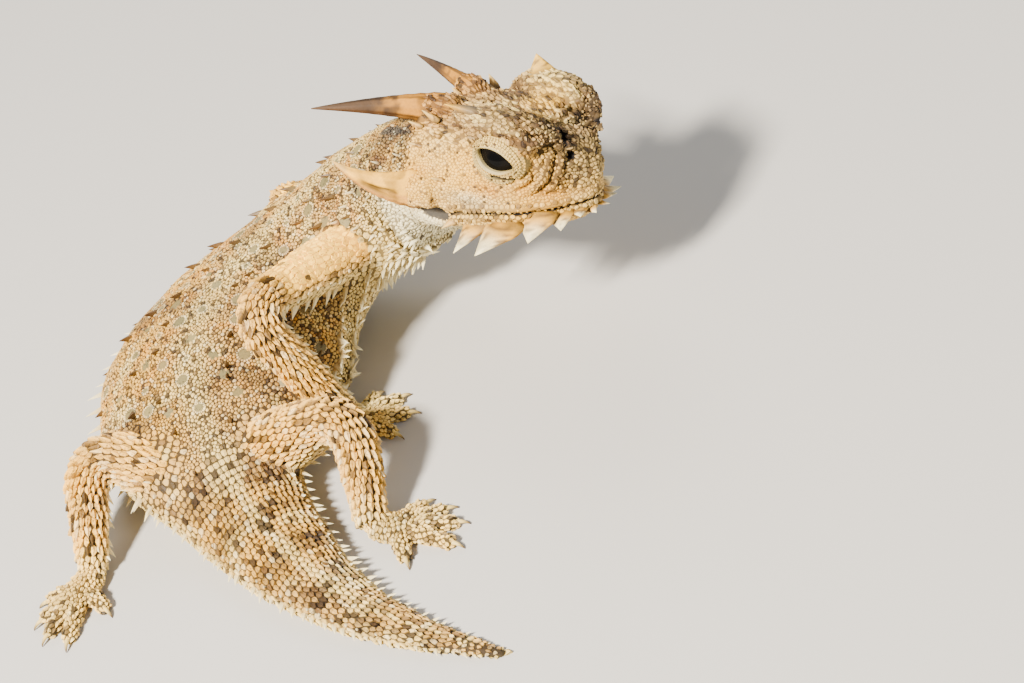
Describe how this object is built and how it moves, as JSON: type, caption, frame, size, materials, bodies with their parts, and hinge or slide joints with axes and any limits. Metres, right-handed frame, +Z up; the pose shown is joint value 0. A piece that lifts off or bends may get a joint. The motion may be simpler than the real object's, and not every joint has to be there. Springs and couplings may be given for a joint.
{
  "type": "horned lizard",
  "caption": "Life-size horned lizard model in sandy colours, standing with its chest raised, head turned and tail swept aside.",
  "frame": {"origin": "on the flat where the belly rests on the floor, below the middle of the trunk", "axes": "+X ahead of the chest, +Y to the animal's left, +Z up from the floor"},
  "size_m": [0.0754, 0.096, 0.0308],
  "materials": {
    "skin": "matte, scaly",
    "scales": "matte with waxy edges",
    "horn": "satin horn",
    "eye": "wet gloss"
  },
  "bodies": {
    "root": {"head": "skin", "lower_jaw": "skin", "eye_L": "eye", "eye_R": "eye", "horn_occipital_L": "horn", "horn_occipital_R": "horn", "horn_temporal_L": "horn", "horn_temporal_R": "horn", "neck": "skin", "chest": "skin", "trunk": "skin", "pelvis": "skin", "tail_base": "skin", "tail_tip": "skin", "upper_arm_L": "skin", "upper_arm_R": "skin", "forearm_L": "skin", "forearm_R": "skin", "hand_L": "skin", "hand_R": "skin", "thigh_L": "skin", "thigh_R": "skin", "shank_L": "skin", "shank_R": "skin", "foot_L": "skin", "foot_R": "skin"}
  },
  "joints": []
}
